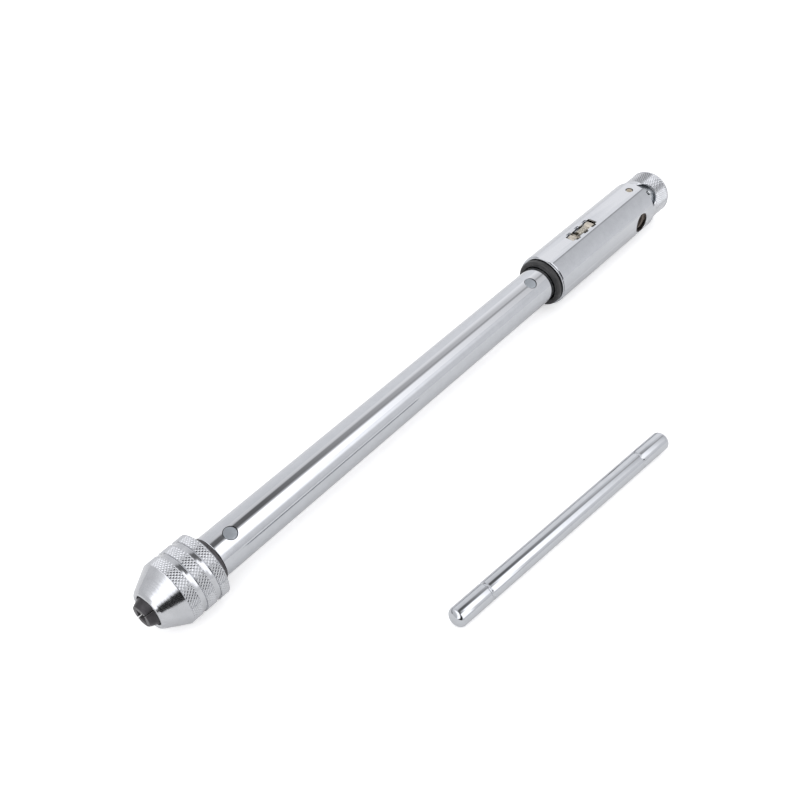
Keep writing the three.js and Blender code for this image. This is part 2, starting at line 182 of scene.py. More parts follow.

# Depths of marks are in millimetres. The darker corner colour of each finish is painted shade.
finishes = {
    "polishedChrome": {
        "colour": (0.545, 0.56, 0.585), "rubbed": (0.62, 0.63, 0.65), "paintedCornerShade": (0.33, 0.34, 0.36),
        "metallic": 1.0, "rough": 0.05, "roughSpread": 0.05, "smudgeRough": 0.05,
        "pitch": 0.4, "sway": 0.4, "ringDepth": 0.0005, "hairlines": 0.5, "smudges": 0.6,
        "hairlineDepth": 0.0006, "grain": 0.3, "grainDepth": 0.0, "edgeReach": 0.05, "mottle": 0.03,
    },
    "satinChrome": {
        "colour": (0.55, 0.56, 0.58), "rubbed": (0.66, 0.67, 0.69), "paintedCornerShade": (0.26, 0.26, 0.28),
        "metallic": 1.0, "rough": 0.13, "roughSpread": 0.1, "smudgeRough": 0.05,
        "pitch": 0.7, "sway": 3.0, "ringDepth": 0.03, "hairlines": 0.4, "smudges": 0.5,
        "hairlineDepth": 0.0006, "grain": 0.3, "grainDepth": 0.0, "edgeReach": 0.06, "mottle": 0.06,
    },
    "brightSteel": {
        "colour": (0.56, 0.58, 0.60), "rubbed": (0.68, 0.69, 0.70), "paintedCornerShade": (0.16, 0.15, 0.14),
        "metallic": 1.0, "rough": 0.24, "roughSpread": 0.14, "smudgeRough": 0.08,
        "pitch": 0.2, "sway": 0.5, "ringDepth": 0.003, "hairlines": 0.7, "smudges": 0.6,
        "hairlineDepth": 0.0012, "grain": 0.3, "grainDepth": 0.0006, "edgeReach": 0.05, "mottle": 0.12,
    },
    "blackedSteel": {
        "colour": (0.05, 0.047, 0.052), "rubbed": (0.16, 0.155, 0.16), "paintedCornerShade": (0.015, 0.014, 0.015),
        "metallic": 0.55, "rough": 0.36, "roughSpread": 0.16, "smudgeRough": 0.12,
        "pitch": 0.16, "sway": 0.6, "ringDepth": 0.002, "hairlines": 0.8, "smudges": 0.7,
        "hairlineDepth": 0.0015, "grain": 0.22, "grainDepth": 0.003, "edgeReach": 0.05, "mottle": 0.35,
    },
    # Dark brown-black lining for the cross bore: painted shade standing in for the shade deep inside the
    # bore.
    "paintedShadeBore": {
        "colour": (0.07, 0.05, 0.04), "rubbed": (0.2, 0.17, 0.15), "paintedCornerShade": (0.02, 0.015, 0.012),
        "metallic": 0.6, "rough": 0.5, "roughSpread": 0.16, "smudgeRough": 0.12,
        "pitch": 0.2, "sway": 0.8, "ringDepth": 0.003, "hairlines": 0.4, "smudges": 0.8,
        "hairlineDepth": 0.001, "grain": 0.25, "grainDepth": 0.004, "edgeReach": 0.05, "mottle": 0.35,
    },
    "blackPlastic": {
        "colour": (0.022, 0.022, 0.023), "rubbed": (0.06, 0.06, 0.062), "paintedCornerShade": (0.012, 0.012, 0.012),
        "metallic": 0.0, "rough": 0.42, "roughSpread": 0.12, "smudgeRough": 0.1,
        "pitch": 0.3, "sway": 0.4, "ringDepth": 0.003, "hairlines": 0.5, "smudges": 0.6,
        "hairlineDepth": 0.002, "grain": 0.2, "grainDepth": 0.006, "edgeReach": 0.05, "mottle": 0.3,
    },
    "yellowZinc": {
        "colour": (0.42, 0.37, 0.29), "rubbed": (0.56, 0.52, 0.45), "paintedCornerShade": (0.22, 0.16, 0.10),
        "metallic": 0.8, "rough": 0.34, "roughSpread": 0.14, "smudgeRough": 0.1,
        "pitch": 0.25, "sway": 0.6, "ringDepth": 0.002, "hairlines": 0.6, "smudges": 0.8,
        "hairlineDepth": 0.001, "grain": 0.25, "grainDepth": 0.002, "edgeReach": 0.05, "mottle": 0.3,
    },
    "groundSteel": {
        "colour": (0.42, 0.45, 0.48), "rubbed": (0.5, 0.53, 0.56), "paintedCornerShade": (0.1, 0.1, 0.11),
        "metallic": 1.0, "rough": 0.42, "roughSpread": 0.1, "smudgeRough": 0.08,
        "pitch": 0.2, "sway": 0.8, "ringDepth": 0.002, "hairlines": 0.7, "smudges": 0.6,
        "hairlineDepth": 0.001, "grain": 0.3, "grainDepth": 0.001, "edgeReach": 0.05, "mottle": 0.08,
    },
    "springWire": {
        "colour": (0.42, 0.39, 0.33), "rubbed": (0.6, 0.57, 0.5), "paintedCornerShade": (0.14, 0.12, 0.09),
        "metallic": 0.95, "rough": 0.26, "roughSpread": 0.1, "smudgeRough": 0.06,
        "pitch": 0.2, "sway": 0.8, "ringDepth": 0.001, "hairlines": 0.4, "smudges": 0.5,
        "hairlineDepth": 0.0006, "grain": 0.2, "grainDepth": 0.001, "edgeReach": 0.08, "mottle": 0.2,
    },
}


def bumped(tree, height, depth, below=None):
    values = {"Strength": 1.0, "Distance": depth * mm, "Height": height}
    if below is not None:
        values["Normal"] = below
    return put(tree, "Bump", values).outputs[0]


def makeFinish(name, look):
    material = bpy.data.materials.new(name)
    material.use_nodes = True
    tree = material.node_tree
    shader = tree.nodes["Principled BSDF"]
    rings = effect(tree, turnedRings, Pitch=look["pitch"], Sway=look["sway"])
    marks = effect(tree, handling, Hairlines=look["hairlines"], Smudges=look["smudges"])
    edges = effect(tree, rubbedEdgesAndCornerShade, Reach=look["edgeReach"])
    tooth = effect(tree, fineTooth, Grain=look["grain"])

    shade = remap(tree, tooth["Mottle"], 0.3, 0.7, 1 - look["mottle"], 1 + look["mottle"])
    base = put(tree, "VectorMath", {0: look["colour"], 1: shade}, operation="MULTIPLY").outputs[0]
    # Inside corners are darkened towards the corner colour: painted shade.
    base = blendColour(tree, edges["PaintedCornerShade"], base, (*look["paintedCornerShade"], 1))
    base = blendColour(tree, edges["Rubbed"], base, (*look["rubbed"], 1))
    tree.links.new(base, shader.inputs["Base Color"])

    spread = look["roughSpread"]
    rough = remap(tree, rings["Streak"], 0.3, 0.7, look["rough"] - spread / 2, look["rough"] + spread / 2)
    rough = calc(tree, "MULTIPLY_ADD", marks["Smudge"], look["smudgeRough"], rough)
    rough = calc(tree, "MULTIPLY_ADD", marks["Scratch"], 0.1, rough)
    tree.links.new(rough, shader.inputs["Roughness"])

    normal = bumped(tree, rings["Height"], look["ringDepth"])
    normal = bumped(tree, marks["Scratch"], -look["hairlineDepth"], normal)
    if look["grainDepth"]:
        normal = bumped(tree, tooth["Height"], look["grainDepth"], normal)
    tree.links.new(normal, shader.inputs["Normal"])
    shader.inputs["Metallic"].default_value = look["metallic"]
    return material


materials = {name: makeFinish(name, look) for name, look in finishes.items()}
print("finishes ready:", len(materials))


breakSteps = 4  # mesh steps round a broken corner
crisp = 28.0  # edges turning by more than this, in degrees, are not shaded smooth


# Breaks the corners of an outline; a corner is (along, out) or (along, out, radius of the break).
def softened(outline):
    points = []
    for i, corner in enumerate(outline):
        here = Vector(corner[:2])
        if len(corner) < 3:
            points.append(tuple(here))
            continue
        before = Vector(outline[i - 1][:2]) - here
        after = Vector(outline[(i + 1) % len(outline)][:2]) - here
        half = before.angle(after) / 2
        reach = min(corner[2] / math.tan(half), 0.48 * before.length, 0.48 * after.length)
        radius = reach * math.tan(half)
        middle = here + (before.normalized() + after.normalized()).normalized() * radius / math.sin(half)
        first = here + before.normalized() * reach - middle
        last = here + after.normalized() * reach - middle
        start = math.atan2(first.y, first.x)
        swing = (math.atan2(last.y, last.x) - start + math.pi) % (2 * math.pi) - math.pi
        for k in range(breakSteps + 1):
            angle = start + swing * k / breakSteps
            points.append((middle.x + radius * math.cos(angle), middle.y + radius * math.sin(angle)))
    return points


def shadeSmooth(shape, sharp):
    for face in shape.faces:
        face.smooth = True
    for edge in shape.edges:
        edge.smooth = len(edge.link_faces) == 2 and edge.calc_face_angle(0) < math.radians(sharp)


def finishMesh(name, shape, material, sharp=crisp, flatFaces=()):
    bmesh.ops.recalc_face_normals(shape, faces=shape.faces)
    shadeSmooth(shape, sharp)
    for face in flatFaces:
        face.smooth = False
    mesh = bpy.data.meshes.new(name)
    shape.to_mesh(mesh)
    shape.free()
    piece = bpy.data.objects.new(name, mesh)
    bpy.context.scene.collection.objects.link(piece)
    piece.matrix_world = toolPlace
    if material:
        mesh.materials.append(materials[material])
    return piece


knurlSteps = 8  # mesh steps across one diamond


# How high the diamond knurl stands at row i and column j; the crests are slightly flattened.
def knurlHeight(i, j):
    a = (i + j) % knurlSteps
    b = (i - j) % knurlSteps
    nearest = min(a, knurlSteps - a, b, knurlSteps - b)
    return min(2.15 * nearest / knurlSteps, 0.9)


def knurlFaces(shape, lower, upper, row):
    count = len(lower)
    faces = []
    for j in range(count):
        k = (j + 1) % count
        corners = (lower[j], upper[j], upper[k], lower[k])
        if (row + 1 + j) % knurlSteps == 0:
            faces.append(shape.faces.new((corners[0], corners[1], corners[3])))
            faces.append(shape.faces.new((corners[1], corners[2], corners[3])))
        else:
            faces.append(shape.faces.new((corners[0], corners[1], corners[2])))
            faces.append(shape.faces.new((corners[0], corners[2], corners[3])))
    return faces


# A piece turned about the tool's axis. Between the two stations of a knurl band the rows of diamonds
# take the place of the plain cylinder.
def turned(name, outline, material=None, segments=192, knurl=None):
    points = softened(outline)
    shape = bmesh.new()
    rows = []
    for (x, r), (nextX, _) in zip(points, points[1:] + points[:1]):
        rows.append((x, r, None))
        for start, end in (knurl or {}).get("bands", []):
            if abs(start - x) > 0.01 or abs(end - nextX) > 0.01:
                continue
            count = round((end - start) / (knurl["pitch"] / knurlSteps))
            for i in range(1, count):
                rows.append((start + (end - start) * i / count, r, i))
    rings = []
    for x, r, i in rows:
        if r < 1e-6:
            rings.append([shape.verts.new(at(x))])
            continue
        ring = []
        for j in range(segments):
            cut = knurl["depth"] * (1 - knurlHeight(i, j)) if i is not None else 0.0
            ring.append(shape.verts.new(at(x, r - cut, 2 * math.pi * j / segments)))
        rings.append(ring)
    pairs = list(zip(range(len(rings)), range(1, len(rings))))
    if outline[0][1] > 1e-6:
        pairs.append((len(rings) - 1, 0))
    knurled = []
    for a, b in pairs:
        low, high = rings[a], rings[b]
        if rows[a][2] is not None or rows[b][2] is not None:
            knurled += knurlFaces(shape, low, high, rows[a][2] if rows[a][2] is not None else 0)
            continue
        for j in range(segments):
            k = (j + 1) % segments
            corners = [low[j % len(low)], high[j % len(high)], high[k % len(high)], low[k % len(low)]]
            corners = [c for n, c in enumerate(corners) if c not in corners[:n]]
            if len(corners) > 2:
                shape.faces.new(corners)
    return finishMesh(name, shape, material, flatFaces=knurled)


# A prism with the outline drawn in two of its own axes, moved into place by a matrix. Grow widens
# its far end all round.
def prism(name, outline, low, high, matrix, material=None, grow=0.0):
    points = softened(outline)
    shape = bmesh.new()
    ends = []
    for level, extra in ((low, 0.0), (high, grow)):
        ring = []
        for i, (u, v) in enumerate(points):
            if extra:
                before = Vector(points[i - 1])
                after = Vector(points[(i + 1) % len(points)])
                side = (after - before).normalized()
                u, v = u + side.y * extra, v - side.x * extra
            ring.append(shape.verts.new(matrix @ (Vector((u, v, level)) * mm)))
        ends.append(ring)
    shape.faces.new(ends[0])
    shape.faces.new(ends[1])
    for j in range(len(points)):
        k = (j + 1) % len(points)
        shape.faces.new((ends[0][j], ends[1][j], ends[1][k], ends[0][k]))
    return finishMesh(name, shape, material)


def moved(piece, matrix):
    piece.data.transform(matrix)
    return piece


# Where a pin or hole stands: its own X axis points out from the tool's axis at that turn.
def outward(x, turn):
    return Matrix.Translation(at(x)) @ Matrix.Rotation(turn, 4, "X") @ Matrix.Rotation(-math.pi / 2, 4, "Y")


# A plain round cutter along its own X axis, set in place by a matrix.
def drill(start, end, radius, segments, matrix):
    outline = [(start, 0), (start, radius), (end, radius), (end, 0)]
    return moved(turned("drill", outline, None, segments), matrix)


def applied(piece):
    bpy.context.view_layer.update()
    graph = bpy.context.evaluated_depsgraph_get()
    mesh = bpy.data.meshes.new_from_object(piece.evaluated_get(graph), depsgraph=graph)
    old = piece.data
    piece.modifiers.clear()
    piece.data = mesh
    mesh.name = piece.name
    bpy.data.meshes.remove(old)
    return piece


def carve(piece, cutters, operation="DIFFERENCE"):
    for cutter in cutters:
        step = piece.modifiers.new("carve", "BOOLEAN")
        step.operation = operation
        step.solver = "EXACT"
        step.material_mode = "TRANSFER"
        step.object = cutter
    applied(piece)
    for cutter in cutters:
        bpy.data.objects.remove(cutter)
    return piece


def breakEdges(piece, width):
    step = piece.modifiers.new("edges", "BEVEL")
    step.width = width * mm
    step.segments = 2
    step.limit_method = "ANGLE"
    step.angle_limit = math.radians(40)
    return applied(piece)


touch = 0.004  # a vertex this near to a round or a flat, in millimetres, lies on it


# Sets shading so that the turned outside is truly round and the milled flats are truly flat.
def trueNormals(piece, radii=(), flats=()):
    mesh = piece.data
    shape = bmesh.new()
    shape.from_mesh(mesh)
    shadeSmooth(shape, crisp)
    shape.to_mesh(mesh)
    shape.free()
    normals = [Vector(n.vector) for n in mesh.corner_normals]
    for face in mesh.polygons:
        spots = [mesh.vertices[v].co / mm for v in face.vertices]
        onFlat = any(
            all(abs(spot.dot(direction) - level) < touch for spot in spots) for direction, level in flats
        )
        onRound = any(all(abs(math.hypot(spot.y, spot.z) - r) < touch for spot in spots) for r in radii)
        for spot, corner in zip(spots, face.loop_indices):
            if onFlat:
                normals[corner] = face.normal.copy()
            elif onRound:
                out = Vector((0, spot.y, spot.z)).normalized()
                normals[corner] = out if out.dot(face.normal) > 0 else -out
    mesh.normals_split_custom_set(normals)
    return piece


# A round-wire coil spring along its own X axis; the closed end turns lie flat.
def coilSpring(name, radius, wire, length, turns, matrix, material):
    shape = bmesh.new()
    steps = int(turns * 24)
    sides = 10
    dead = 0.9 / turns  # share of the wire in each closed end turn
    rings = []
    for i in range(steps + 1):
        t = i / steps
        rise = min(max((t - dead) / (1 - 2 * dead), 0.0), 1.0)
        flat = 2 * wire * (1 - min(t, 1 - t, dead) / dead)
        along = (rise - 0.5) * (length - 6 * wire) + (flat if t >= 0.5 else -flat)
        angle = 2 * math.pi * turns * t
        out = Vector((0, math.cos(angle), math.sin(angle)))
        middle = out * radius + Vector((along, 0, 0))
        ring = []
        for k in range(sides):
            around = 2 * math.pi * k / sides
            spot = middle + out * wire * math.cos(around) + Vector((wire * math.sin(around), 0, 0))
            ring.append(shape.verts.new(matrix @ (spot * mm)))
        rings.append(ring)
    for low, high in zip(rings, rings[1:]):
        for k in range(sides):
            n = (k + 1) % sides
            shape.faces.new((low[k], high[k], high[n], low[n]))
    shape.faces.new(rings[0])
    shape.faces.new(rings[-1])
    return finishMesh(name, shape, material, 60)


# Puts a finished piece on its body, in place of the nodes named.
def fit(piece, body, slot, *nodes):
    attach(piece, body)
    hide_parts(*nodes)
    return piece


sleeve = {
    "radius": 12.15, "length": 24.75, "bore": 8.95, "nose": 5.85, "coneEnd": 8.5,
    "grooves": (13.8, 19.7), "grooveHalf": 1.0, "grooveDepth": 0.5, "bandEnd": 24.15,
    "diamonds": 60, "diamondLength": 1.4, "knurlDepth": 0.21,
}


def makeSleeve():
    s = sleeve
    top = s["radius"]
    first, second = s["grooves"]
    half, floor = s["grooveHalf"], top - s["grooveDepth"]
    outline = [
        (0.4, s["nose"], 0.1), (0.0, 6.4, 0.3), (0.2, 7.2, 0.4), (1.1, 7.9, 0.6),
        (s["coneEnd"], top - 0.04, 0.08), (s["coneEnd"] + 0.12, top),
        (first - half, top), (first - half + 0.08, floor, 0.12),
        (first + half - 0.08, floor, 0.12), (first + half, top), (second - half, top),
        (second - half + 0.08, floor, 0.12), (second + half - 0.08, floor, 0.12), (second + half, top),
        (s["bandEnd"], top), (s["bandEnd"] + 0.05, top - 0.12), (s["length"], 11.2, 0.15),
        (s["length"], s["bore"] + 0.3, 0.1), (s["length"] - 0.4, s["bore"]), (9.4, s["bore"], 0.3),
        (1.6, 6.2, 0.3), (0.9, s["nose"], 0.2),
    ]
    bands = [
        (s["coneEnd"] + 0.12, first - half), (first + half, second - half), (second + half, s["bandEnd"]),
    ]
    knurl = {"bands": bands, "depth": s["knurlDepth"], "pitch": s["diamondLength"]}
    return turned("knurled_sleeve", outline, "satinChrome", knurlSteps * s["diamonds"], knurl)


fit(makeSleeve(), "sleeve", "satin_chrome", "chuck_sleeve")
print("sleeve turned and knurled")

jaws = {
    "front": -2.6, "frontRadius": 4.05, "rear": 12.0, "rearRadius": 7.35, "squareHalf": 2.1, "gap": 0.4,
    "break": 0.28, "lean": math.pi / 4, "springX": 8.6, "springOut": 5.2, "pocketRadius": 1.4,
    "pocketHalf": 3.6,
}
jawLean = Matrix.Rotation(-jaws["lean"], 4, "X")


# A spring stands across the slot between the jaws, one on each side of the tap.
def springPlace(side):
    spot = Vector((jaws["springX"], side * jaws["springOut"], 0)) * mm
    return jawLean @ Matrix.Translation(spot) @ Matrix.Rotation(math.pi / 2, 4, "Y")


def makeJaw(name, side):
    j = jaws
    blank = turned(name, [
        (j["front"], 0), (j["front"], j["frontRadius"], 0.2), (-1.9, 4.45, 0.3), (0.3, 5.35, 0.4),
        (6.2, j["rearRadius"], 0.6), (j["rear"], j["rearRadius"], 0.3), (j["rear"], 0),
    ], "blackedSteel", 96)
    low, high = sorted((side * j["gap"] / 2, side * 12))
    keep = prism("keep", [(-5, -12), (15, -12), (15, 12), (-5, 12)], low, high, jawLean)
    carve(blank, [keep], "INTERSECT")
    q = j["squareHalf"]
    square = prism("square", [(-5, -q, 0.2), (15, -q, 0.2), (15, q, 0.2), (-5, q, 0.2)], -q, q, Matrix())
    pockets = []
    for along in (-1, 1):
        r, half = j["pocketRadius"], j["pocketHalf"]
        pockets.append(drill(-half, half, r, 32, springPlace(along)))
    carve(blank, [square, *pockets])
    breakEdges(blank, j["break"])
    return trueNormals(blank)


fit(makeJaw("jaw_upper_ground", 1), "upper_jaw", "black_steel", "jaw_upper")
fit(makeJaw("jaw_lower_ground", -1), "lower_jaw", "black_steel", "jaw_lower")
for name, along in (("jaw_spring_near", -1), ("jaw_spring_far", 1)):
    spring = coilSpring(name + "_wound", 0.85, 0.19, 6, 6, springPlace(along), "springWire")
    fit(spring, "upper_jaw", "spring_wire", name)
print("jaws ground, springs wound")

pins = {
    "radius": 2.45, "lean": math.radians(18.5), "chuck": 35.2, "spindle": 203.0, "hole": 2.66,
    "edge": 7.66, "crown": 7.86,
}


def makeChuckBody():
    bore, shoulder, spigot = 4.6, 8.6, 5.2
    body = turned("chuck_body_turned", [
        (24, 0), (24, bore, 0.2), (15.6, bore, 0.2), (15.6, shoulder, 0.4), (26.75, shoulder, 0.2),
        (26.75, spigot, 0.2), (43, spigot, 0.5), (43, 0),
    ], "blackedSteel", 128)
    carve(body, [drill(-9, 9, pins["radius"] + 0.1, 64, outward(pins["chuck"], pins["lean"]))])
    return trueNormals(body, (shoulder, spigot, bore))


# Flush dowel with slightly domed ends and a broken edge.
def makeDowel(name, x):
    r, edge, crown = pins["radius"], pins["edge"], pins["crown"]
    half = [(crown, 0), (crown - 0.02, 0.6 * r), (edge + 0.12, r - 0.12, 0.2), (edge - 0.1, r, 0.1)]
    outline = [(-along, out, *rest) for along, out, *rest in half] + list(reversed(half))
    return moved(turned(name, outline, "groundSteel", 96), outward(x, pins["lean"]))


fit(makeChuckBody(), "handle", "black_steel", "chuck_body")
fit(makeDowel("chuck_dowel", pins["chuck"]), "handle", "steel", "chuck_pin")
fit(makeDowel("spindle_dowel", pins["spindle"]), "handle", "steel", "spindle_pin")
print("chuck body and dowels made")

tube = {"radius": 8.0, "bore": 5.5, "start": 27.05, "end": 222.0}


def makeTube():
    t = tube
    r = t["radius"]
    blank = turned("extension_tube_drawn", [
        (t["start"], t["bore"], 0.2), (t["start"], r, 0.4), (t["end"], r, 0.4), (t["end"], t["bore"], 0.2),
    ], "polishedChrome", 256)
    stations = (pins["chuck"], pins["spindle"])
    carve(blank, [drill(-9.5, 9.5, pins["hole"], 64, outward(x, pins["lean"])) for x in stations])
    return trueNormals(blank, (r, t["bore"]))


fit(makeTube(), "handle", "chrome", "extension_tube")
print("tube drawn and drilled")

head = {
    "radius": 11.2, "bore": 9.7, "start": 215.8, "end": 286.4, "flat": 10.46, "rimBreak": 0.26,
    "windowX": 243.2, "windowHalf": 8.85, "slotHalf": 2.05, "lobeHalf": 2.95, "lobes": (-5.8, 0.0, 5.8),
    "lobeLength": 1.4, "corner": 0.45, "crossX": 276.2, "crossBore": 3.95, "crossEntry": 4.35,
    "corePinX": 281.2, "stopPinX": 289.4,
}
cap = {
    "radius": 10.1, "start": 287.0, "knurlStart": 289.8, "knurlEnd": 299.3, "end": 302.2, "bore": 8.8,
    "floor": 293.6, "seat": 298.6, "seatRadius": 3.4, "notchX": 285.64, "notchRadius": 6.4,
    "notchLean": math.radians(38), "diamonds": 52, "diamondLength": 1.3, "knurlDepth": 0.23,
    "rodHole": 1.6, "rodRadius": 6.6, "rodSwing": math.radians(38), "rodSlotHalf": 1.5,
}


def windowOutline():
    h = head
    near = []
    for lobe in h["lobes"]:
        start, end = lobe - h["lobeLength"], lobe + h["lobeLength"]
        near += [(start, -h["slotHalf"]), (start, -h["lobeHalf"])]
        near += [(end, -h["lobeHalf"]), (end, -h["slotHalf"])]
    corners = [(-h["windowHalf"], -h["slotHalf"])] + near + [(h["windowHalf"], -h["slotHalf"])]
    corners += [(x, -y) for x, y in reversed(corners)]
    return [(h["windowX"] + x, y, h["corner"]) for x, y in corners]


# The bore for the tommy bar, with its mouths opened out by the flare from a given radius on.
def crossBore(radius, flare, flareAt, lining=None):
    reach = 13
    mouth = radius + flare + reach - flareAt
    outline = [
        (-reach, 0), (-reach, mouth), (flare - flareAt, radius), (flareAt - flare, radius), (reach, mouth),
        (reach, 0),
    ]
    return moved(turned("bore", outline, lining, 96), outward(head["crossX"], math.pi / 2))


def makeCasing():
    h = head
    casing = turned("head_casing_machined", [
        (h["start"], h["bore"] + 0.4, 0.1), (h["start"], 10.9, 0.25), (h["start"] + 0.35, h["radius"], 0.3),
        (h["end"] - 0.9, h["radius"], 0.5), (h["end"], 10.4, 0.2), (h["end"], h["bore"]),
        (h["start"] + 0.6, h["bore"]),
    ], "polishedChrome", 256)
    flat = prism("flat", [(210, -12), (300, -12), (300, 12), (210, 12)], h["flat"], 13, Matrix())
    window = prism("window", windowOutline(), 4, 13, Matrix())
    rim = prism("rim", windowOutline(), h["flat"] - 0.14, h["flat"] + 0.14, Matrix(), None, h["rimBreak"])
    cross = crossBore(h["crossEntry"], 0.25, 10.7)
    stake = drill(6, 13, 1.7, 48, outward(h["corePinX"], 0))
    carve(casing, [flat, window, rim, cross, stake])
    return trueNormals(casing, (h["radius"], h["bore"]), [(Vector((0, 0, 1)), h["flat"])])


def makeBush():
    return turned("front_bush_moulded", [
        (212.5, 8.3, 0.15), (212.5, 9.7, 0.4), (213.1, 10.3, 0.5), (214.65, 10.3, 0.15), (214.65, 9.4, 0.1),
        (222, 9.4, 0.3), (222, 8.3, 0.2),
    ], "blackPlastic", 160)


def makeRetainingRing():
    return turned("retaining_ring_turned", [
        (214.95, 9.7, 0.1), (214.95, 11, 0.2), (215.5, 11, 0.2), (215.5, 9.7, 0.1),
    ], "polishedChrome", 160)


# The arc that the selector rod swings through, all along the core.
def rodSlot():
    swing, radius, width = cap["rodSwing"], cap["rodRadius"], cap["rodSlotHalf"]
    spread = [math.pi - swing + 2 * swing * i / 24 for i in range(25)]
    outer = [((radius + width) * math.cos(a), (radius + width) * math.sin(a)) for a in spread]
    inner = [((radius - width) * math.cos(a), (radius - width) * math.sin(a)) for a in reversed(spread)]
    stand = Matrix.Rotation(math.pi / 2, 4, "Y") @ Matrix.Rotation(math.pi, 4, "Z")
    return prism("slot", outer + inner, 255, 295, stand)


def makeCore():
    h = head
    body, spigot, socket, tapping = 9.4, 8.5, 3.7, 1.9
    core = turned("head_core_milled", [
        (264, 0), (264, socket, 0.1), (257.5, socket, 0.1), (257.5, body, 0.3), (286.1, body, 0.25),
        (286.1, spigot, 0.1), (293, spigot, 0.3), (293, tapping, 0.1), (283, tapping, 0.1), (283, 0),
    ], "brightSteel", 192)
    # The cross bore through the core gets the dark lining: painted shade inside the bore.
    cross = crossBore(h["crossBore"], 0.2, 8.6, "paintedShadeBore")
    pinHole = drill(5.2, 13, 1.9, 48, outward(h["corePinX"], 0))
    ballHole = drill(2, 13, 1.8, 48, outward(h["crossX"], 0))
    stopHole = drill(5.5, 13, 1.1, 32, outward(h["stopPinX"], cap["notchLean"]))
    detent = drill(284.6, 296.6, 1.5, 32, Matrix.Translation((0, 0, 5.6 * mm)))
    carve(core, [cross, rodSlot(), pinHole, ballHole, stopHole, detent])
    return trueNormals(core, (body, spigot))


fit(makeCasing(), "head", "chrome", "head_casing")
fit(makeCore(), "head", "steel", "head_core")
fit(makeBush(), "head", "black_plastic", "front_bush")
fit(makeRetainingRing(), "head", "chrome", "retaining_ring")
print("head casing, bush and ring made")

pawls = {
    "pivotX": 4.4, "pivotZ": 8.0, "halfWidth": 1.75, "pinRadius": 0.65, "toeHalf": 0.65, "break": 0.16,
    "springZ": 8.8,
}


def sidePrism(name, outline, halfWidth, material=None):
    upright = Matrix.Rotation(math.pi / 2, 4, "X")
    return prism(name, outline, -halfWidth, halfWidth, upright, material)


def pivotPlace(side):
    spot = Vector((head["windowX"] + side * pawls["pivotX"], 0, pawls["pivotZ"])) * mm
    return Matrix.Translation(spot) @ Matrix.Rotation(math.pi / 2, 4, "Z")


def makePawl(name, side):
    middle = head["windowX"]
    profile = [
        (3.25, 7.4, 0.3), (8.15, 7.4), (8.15, 9.0, 0.3), (7.45, 9.9, 0.8), (5.4, 10.08, 0.8),
        (4.5, 9.4, 0.6), (3.25, 9.3, 0.2),
    ]
    toe = [(7, 6.3, 0.15), (8.13, 6.3, 0.15), (8.13, 7.6), (6.6, 7.6)]
    profile, toe = ([(middle + side * x, *rest) for x, *rest in outline] for outline in (profile, toe))
    body = sidePrism(name, profile, pawls["halfWidth"], "yellowZinc")
    foot = sidePrism("toe", toe, pawls["toeHalf"])
    carve(body, [foot], "UNION")
    carve(body, [drill(-3, 3, 0.9, 32, pivotPlace(side))])
    breakEdges(body, pawls["break"])
    return trueNormals(body)


def makePivot(name, side):
    r = pawls["pinRadius"]
    pin = turned(name, [(-3.9, 0), (-3.9, r, 0.12), (3.9, r, 0.12), (3.9, 0)], "brightSteel", 32)
    return moved(pin, pivotPlace(side))


for name, side in (("front", -1), ("rear", 1)):
    fit(makePawl("pawl_" + name + "_milled", side), name + "_pawl", "yellow_zinc", "pawl_" + name)
    fit(makePivot("pawl_pivot_" + name, side), "head", "steel", "pawl_pin_" + name)
pawlSpringPlace = Matrix.Translation(Vector((head["windowX"], 0, pawls["springZ"])) * mm)
pawlSpring = coilSpring("pawl_spring_wound", 1.5, 0.22, 5.2, 8, pawlSpringPlace, "springWire")
fit(pawlSpring, "head", "spring_wire", "pawl_spring")


def makeCorePin():
    outline = [(5.6, 0), (5.6, 1.5, 0.2), (10.3, 1.5, 0.35), (10.3, 0)]
    return moved(turned("core_pin_staked", outline, "yellowZinc", 48), outward(head["corePinX"], 0))


def makeStopPin():
    pin = turned("stop_pin_turned", [(6, 0), (6, 0.8, 0.1), (9.6, 0.8, 0.35), (9.6, 0)], "brightSteel", 32)
    return moved(pin, outward(head["stopPinX"], cap["notchLean"]))


fit(makeCorePin(), "head", "yellow_zinc", "core_pin")
fit(makeStopPin(), "head", "steel", "stop_pin")
print("pawls, pivots and pins made")


def makeCap():
    c = cap
    top = c["radius"]
    outline = [
        (c["floor"], 1.9), (c["floor"], c["bore"], 0.3), (c["start"], c["bore"], 0.1),
        (c["start"], 9.75, 0.15), (c["start"] + 0.4, top - 0.05, 0.3),
        (c["knurlStart"] - 0.1, top - 0.05, 0.05), (c["knurlStart"], top),
        (c["knurlEnd"], top), (c["knurlEnd"] + 0.25, top - 0.08, 0.2),
        (301.0, 9.3, 1.6), (c["end"], 7.4, 0.8),
        (c["end"], c["seatRadius"] + 0.3, 0.1), (c["end"] - 0.3, c["seatRadius"], 0.1),
        (c["seat"], c["seatRadius"], 0.2), (c["seat"], 1.9),
    ]
    bands = [(c["knurlStart"], c["knurlEnd"])]
    knurl = {"bands": bands, "depth": c["knurlDepth"], "pitch": c["diamondLength"]}
    piece = turned("selector_cap_knurled", outline, "satinChrome", knurlSteps * c["diamonds"], knurl)
    notch = drill(4, 13, c["notchRadius"], 128, outward(c["notchX"], c["notchLean"]))
    rod = drill(292, 296.5, c["rodHole"], 32, Matrix.Translation((0, 0, -c["rodRadius"] * mm)))
    carve(piece, [notch, rod])
    return piece


